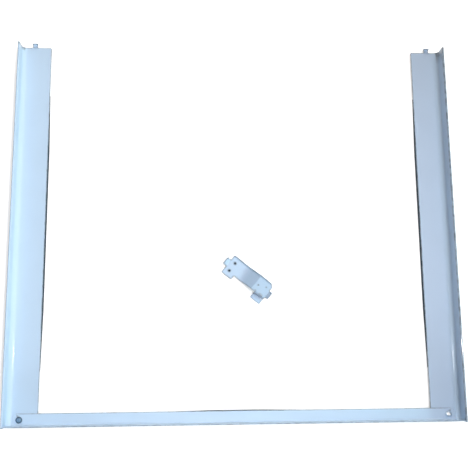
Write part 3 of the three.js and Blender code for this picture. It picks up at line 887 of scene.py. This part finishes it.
class KIT_OT_rubber(bpy.types.Operator):
    """Cuts the rubber strips and pads that lie under the rails."""

    bl_idname = "kit.rubber"
    bl_label = "Rubber strips and pads"

    def execute(self, context):
        size = context.scene.kit_sizes
        nodes = ["rubber_strip_front"]
        for word in SIDES:
            nodes += [f"rubber_strip_{word}", f"rubber_pad_front_{word}", f"rubber_pad_rear_{word}"]
        clip = context.scene.clip_sizes
        boxes = {node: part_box(node) for node in nodes}
        # The clip's dark pad shows through its two holes: real rubber, and also a dark sheet standing
        # for the shade under the plate
        # The clip's pad is turned with the clip, so its blank is given in the clip's own plan
        inset, top = 1.5 * MM, clip.lift - 0.1 * MM
        boxes["rubber_pad_clip"] = (
            (inset, inset, 0.0), (clip.ear - inset, clip.width - clip.rim - inset, top)
        )
        for node, ends in boxes.items():
            low, high = (np.array(corner) for corner in ends)
            (x0, y0), (x1, y1) = low[:2], high[:2]
            corners = [(x0, y0), (x1, y0), (x1, y1), (x0, y1)]
            # A strip's dark inner side shows past the web's edge as a dark line, real rubber that also
            # stands for painted shade along that edge. It is trimmed back towards its ends, so it
            # shows less there
            trim, run = size.trim, size.trim_run
            if node == "rubber_strip_right":
                corners = [
                    (x0 + trim, y0), (x1, y0), (x1, y1), (x0 + trim, y1),
                    (x0, y1 - run), (x0, y0 + run),
                ]
            elif node == "rubber_strip_left":
                corners = [
                    (x0, y0), (x1 - trim, y0), (x1, y0 + run),
                    (x1, y1 - run), (x1 - trim, y1), (x0, y1),
                ]
            elif node == "rubber_strip_front":
                corners = [
                    (x0, y0), (x1, y0), (x1, y1 - trim),
                    (x1 - run, y1), (x0 + run, y1), (x0, y1 - trim),
                ]
            outline = spaced(rounded(corners, [size.pad_corner] * len(corners), 8), 6 * MM, 6 * MM)
            thickness = high[2] - low[2]
            on_clip = node == "rubber_pad_clip"

            def place(u, v, height):
                """Flat, standing on the ground, and turned with the clip where it belongs to it."""
                if on_clip:
                    c, s = math.cos(clip.turn), math.sin(clip.turn)
                    u, v = clip.corner_x + c * u - s * v, FRONT_Y + clip.corner_y + s * u + c * v
                return np.stack([u, v, low[2] + thickness / 2 + height], 1)

            rows_u = np.arange(low[0] + 3 * MM, high[0], 6 * MM)
            rows_v = np.arange(low[1] + 3 * MM, high[1], 6 * MM)
            surface = sheet_surface([outline], rows_u, rows_v, thickness, size.pad_round, place)
            put_mesh(f"{node}_cut", *surface, node, "clip" if on_clip else "frame", "rubber")
        return {"FINISHED"}


class KIT_OT_anchor_clip(bpy.types.Operator):
    """Stamps and folds the loose anchor clip, with its tabs, ramp, rim, holes and foot."""

    bl_idname = "kit.anchor_clip"
    bl_label = "Anchor clip"

    def execute(self, context):
        size = context.scene.clip_sizes
        half = size.sheet / 2
        bend = size.bend
        slope = math.atan2(size.tab_rise, size.tab_reach)
        tab_run = size.tab_reach / math.cos(slope) - bend * slope
        far_run = size.far_reach / math.cos(slope) - bend * slope
        ramp_run = size.ramp_end - size.ramp_start
        # The ramp bends up by the climb and then runs straight; the climb that reaches the raised
        # plate is read from a table of rises, at steps of half a milliradian
        turns = np.linspace(0, 1.2, 2401)
        rises = size.ramp_bend * np.tan(turns / 2) + (ramp_run - size.ramp_bend) * np.tan(turns)
        climb = float(np.interp(size.rise, rises, turns))
        crease = 0.9 * MM
        short = crease * math.tan(climb / 2)
        # Along the strap: near tab, low plate, ramp, crease, raised plate, far tab
        along = [
            (tab_run, 0.0),
            arc(bend, slope),
            (size.ramp_start, 0.0),
            arc(size.ramp_bend / math.sin(climb), climb),
            ((ramp_run - size.ramp_bend) / math.cos(climb) - short, 0.0),
            arc(crease, -climb),
            (size.strap - size.ramp_end - short, 0.0),
            arc(bend, slope),
            (far_run, 0.0),
        ]
        plate = along[0][0] + along[1][0]
        probe = np.linspace(0, sum(run for run, _ in along), 4000)
        near_end = folded(np.array([plate]), along, heading=-slope)
        start = (-near_end[0][0], size.lift + half - near_end[1][0])
        plan = folded(probe, along, start, -slope)[0]

        def blank(u):
            """Distance along the strap at which it reaches a plan place."""
            return np.interp(u, plan, probe)

        # Across the strap: the rim turns up, and under the raised plate the foot folds down
        tilt = math.atan2(size.rim_rise, size.rim)
        rim_start = size.width - size.rim
        rim_bend = 1.6 * MM
        rim_end = rim_start + rim_bend * tilt + (size.rim - rim_bend * math.sin(tilt)) / math.cos(tilt)
        across = [(rim_start, 0.0), arc(rim_bend, tilt), (size.rim, 0.0)]
        fold = size.strap_edge + half + bend
        drop = size.lift + size.rise - 2 * bend
        out = half - bend + size.foot_reach
        foot = [(0.0, 0.0), arc(bend, math.pi / 2), (drop, 0.0), arc(bend, -math.pi / 2), (out, 0.0)]
        foot_end = fold - sum(run for run, _ in foot)
        foot_start = blank(size.strap - size.foot)
        # The relief cut beside the foot: its width, and its end just past the fold
        relief, notch = 0.7 * MM, fold + 0.4 * MM

        # The blank's corners from the low plate's ear to the near tab, and the radius at each
        ear, edge = blank(size.ear), size.strap_edge
        end, tab_end = blank(size.strap), sum(run for run, _ in along)
        near_low, near_high = size.tab_place, size.tab_place + size.tab_width
        far_low, far_high = size.far_place, size.far_place + size.tab_width
        rim_corner = rim_end - size.chamfer
        corners = [
            (plate, 0), (ear, 0), (ear, edge), (foot_start - relief, edge),
            (foot_start - relief, notch), (foot_start, notch),
            (foot_start, foot_end), (end, foot_end), (end, far_low), (tab_end, far_low),
            (tab_end, far_high), (end, far_high), (end, rim_corner), (end - size.chamfer, rim_end),
            (plate, rim_end), (plate, near_high), (0, near_high), (0, near_low), (plate, near_low),
        ]
        radii = np.array(
            [1.5, 2.0, 1.0, 0.5, 0.3, 0.3, 1.5, 1.5, 0.5, 1.2]
            + [1.2, 0.5, 1.5, 1.5, 1.5, 0.5, 1.2, 1.2, 0.5]
        ) * MM
        # The clip is small and folded all over, so its rows and outline are fine throughout
        grain = 0.62 * MM
        outline = spaced(rounded(corners, radii, 8), grain, grain)
        hole_u, hole_v = blank(size.hole_end), size.hole_edge
        holes = [circle((hole_u, hole_v + k * size.hole_spacing), size.hole / 2, 36) for k in (0, 1)]
        slot_u, slot_v = blank(size.strap - size.slot_end), fold + 0.2 * MM
        slot = [
            (slot_u + a * size.slot / 2, slot_v + b * size.slot_width / 2)
            for a, b in ((-1, -1), (-1, 1), (1, 1), (1, -1))
        ]
        holes.append(spaced(rounded(slot, [0.45 * size.slot_width] * 4, 8), grain, grain))
        # Two punch marks on the raised plate
        dots = np.array([(blank(50 * MM), 16.4 * MM), (blank(60.2 * MM), 20.5 * MM)])
        punch, punch_depth = 0.75 * MM, 0.55 * MM

        def place(u, v, height):
            """The fold across, raised on the fold along, with the punch marks pressed in: a
            bell curve of the distance from each."""
            marks = sum(np.exp(-(((u - a) ** 2 + (v - b) ** 2) / punch**2)) for a, b in dots)
            v1, h1, a1 = folded(v, across)
            v2, h2, a2 = folded(fold - v, foot)
            in_foot = (u > foot_start - relief / 2) & (u < tab_end)
            in_foot &= (v < fold) & (v < far_low - 0.1 * MM)
            wide = np.where(in_foot, fold - v2 - height * np.sin(a2), v1 - height * np.sin(a1))
            high = np.where(in_foot, -h2 + height * np.cos(a2), h1 + height * np.cos(a1))
            high = high - punch_depth * marks
            x, z, angle = folded(u, along, start, -slope)
            x = x - high * np.sin(angle)
            z = z + high * np.cos(angle)
            c, s = math.cos(size.turn), math.sin(size.turn)
            corner_y = FRONT_Y + size.corner_y
            return np.stack([size.corner_x + c * x - s * wide, corner_y + s * x + c * wide, z], 1)

        rows_u = np.arange(grain / 2, tab_end, grain)
        rows_v = np.arange(foot_end + grain / 2, rim_end, grain)
        round_edge = size.sheet / 5
        points, faces, near = sheet_surface(
            [outline] + holes, rows_u, rows_v, size.sheet, round_edge, place
        )
        # The coat is darkened at the punch marks, and below the relief slot it gets a painted shade
        # where the raised plate shades the foot's corner
        spots = np.vstack([dots, [(slot_u + 0.8 * MM, fold - 3 * MM)]])
        reach = np.array([0.5, 0.5, 1.7]) * MM
        middles = place(spots[:, 0], spots[:, 1], np.zeros(3))
        dark_spot = np.linalg.norm(points[:, None] - middles, axis=2) - reach
        wear_and_shade_reach = np.minimum(near, np.maximum(dark_spot.min(1), 0))
        put_mesh(
            "anchor_clip_stamped", points, faces, wear_and_shade_reach, "anchor_clip", "clip", "clip_paint"
        )
        return {"FINISHED"}


class KIT_OT_stage(bpy.types.Operator):
    """Makes the camera, the paper floor, the lamps and the world."""

    bl_idname = "kit.stage"
    bl_label = "Stage"

    def execute(self, context):
        scene = context.scene
        # The camera looks almost straight down
        tilt, yaw, roll = np.radians(CAMERA_ANGLES)
        spin = np.array(Matrix.Rotation(yaw, 3, "Z"))
        ahead = spin @ np.array([0, math.sin(tilt), -math.cos(tilt)])
        up = spin @ np.array([0, math.cos(tilt), math.sin(tilt)])
        across = spin @ np.array([1.0, 0, 0])
        right = math.cos(roll) * across + math.sin(roll) * up
        upward = -math.sin(roll) * across + math.cos(roll) * up
        data = bpy.data.cameras.new("camera")
        data.sensor_width = 36.0
        data.lens = CAMERA_LENS
        data.clip_start, data.clip_end = 0.01, 50.0
        camera = bpy.data.objects.new("camera", data)
        pose = Matrix(np.column_stack([right, upward, -ahead]).tolist()).to_4x4()
        pose.translation = CAMERA_PLACE
        camera.matrix_world = pose
        scene.collection.objects.link(camera)
        scene.camera = camera

        # A sheet of paper 8 m wide
        mesh = bpy.data.meshes.new("paper_floor")
        corners = [(-4, -4, 0), (4, -4, 0), (4, 4, 0), (-4, 4, 0)]
        mesh.from_pydata(corners, [], [(0, 1, 2, 3)])
        floor = bpy.data.objects.new("paper_floor", mesh)
        mesh.materials.append(bpy.data.materials[PAPER])
        scene.collection.objects.link(floor)

        for name, (kind, place, target, power, tint, glossy, shape) in LAMPS.items():
            light = bpy.data.lights.new(name, kind)
            light.energy = power
            light.color = tint
            for key, value in shape.items():
                setattr(light, key, value)
            lamp = bpy.data.objects.new(name, light)
            lamp.location = place
            lamp.rotation_euler = (Vector(place) - Vector(target)).to_track_quat("Z", "Y").to_euler()
            lamp.visible_camera = False
            lamp.visible_glossy = glossy
            lamp.visible_diffuse = not glossy
            scene.collection.objects.link(lamp)

        world = bpy.data.worlds.new("studio")
        scene.world = world
        world.use_nodes = True
        tree = world.node_tree
        tree.nodes.clear()
        ambient = add_node(tree, "Background", None, {"Color": AMBIENT_TINT, "Strength": AMBIENT})
        # In gloss the white room is bright above and on the right, and dim low on the left
        look = add_node(tree, "TexCoord").outputs["Generated"]
        toward = add_node(tree, "VectorMath", {0: look}, {1: BRIGHT_SIDE}, operation="DOT_PRODUCT")
        room = add_node(
            tree, "MapRange", {"Value": toward},
            {"From Min": 0.25, "From Max": 0.95, "To Min": 0.12, "To Max": 1.0},
        )
        direct = add_node(tree, "LightPath").outputs["Is Camera Ray"]
        strength = add_node(tree, "Math", {0: room, 1: direct}, operation="MAXIMUM")
        white = add_node(
            tree, "Background", {"Strength": strength}, {"Color": (1.0, 1.0, 1.0, 1.0)}
        )
        mixed = add_node(tree, "MixShader", {0: seen_rays(tree), 1: ambient, 2: white})
        add_node(tree, "OutputWorld", {"Surface": mixed})
        scene.view_settings.view_transform = "Standard"
        return {"FINISHED"}


STEPS = (
    KIT_OT_finishes,
    KIT_OT_side_rails,
    KIT_OT_front_rail,
    KIT_OT_corner_fixings,
    KIT_OT_rubber,
    KIT_OT_anchor_clip,
    KIT_OT_stage,
)


class KIT_PT_panel(bpy.types.Panel):
    bl_idname = "KIT_PT_panel"
    bl_label = "Stacking kit"
    bl_space_type = "VIEW_3D"
    bl_region_type = "UI"
    bl_category = "Kit"

    def draw(self, context):
        for step in STEPS:
            self.layout.operator(step.bl_idname)
        for group in (context.scene.kit_sizes, context.scene.clip_sizes, context.scene.kit_finish):
            box = self.layout.box()
            for key in group.__annotations__:
                box.prop(group, key)


GROUPS = {"kit_sizes": KitSizes, "clip_sizes": ClipSizes, "kit_finish": KitFinish}


def register():
    """Registers the groups, operators and panel, and hangs the groups on the scene."""
    for kind in (*GROUPS.values(), *STEPS, KIT_PT_panel):
        bpy.utils.register_class(kind)
    for name, kind in GROUPS.items():
        setattr(bpy.types.Scene, name, bpy.props.PointerProperty(type=kind))


def unregister():
    """Takes the groups, operators and panel away again."""
    for name in GROUPS:
        delattr(bpy.types.Scene, name)
    for kind in reversed((*GROUPS.values(), *STEPS, KIT_PT_panel)):
        bpy.utils.unregister_class(kind)


def main():
    register()
    bpy.ops.kit.finishes()
    bpy.ops.kit.side_rails()
    bpy.ops.kit.front_rail()
    bpy.ops.kit.corner_fixings()
    bpy.ops.kit.rubber()
    bpy.ops.kit.anchor_clip()
    bpy.ops.kit.stage()


if __name__ == "__main__":
    main()
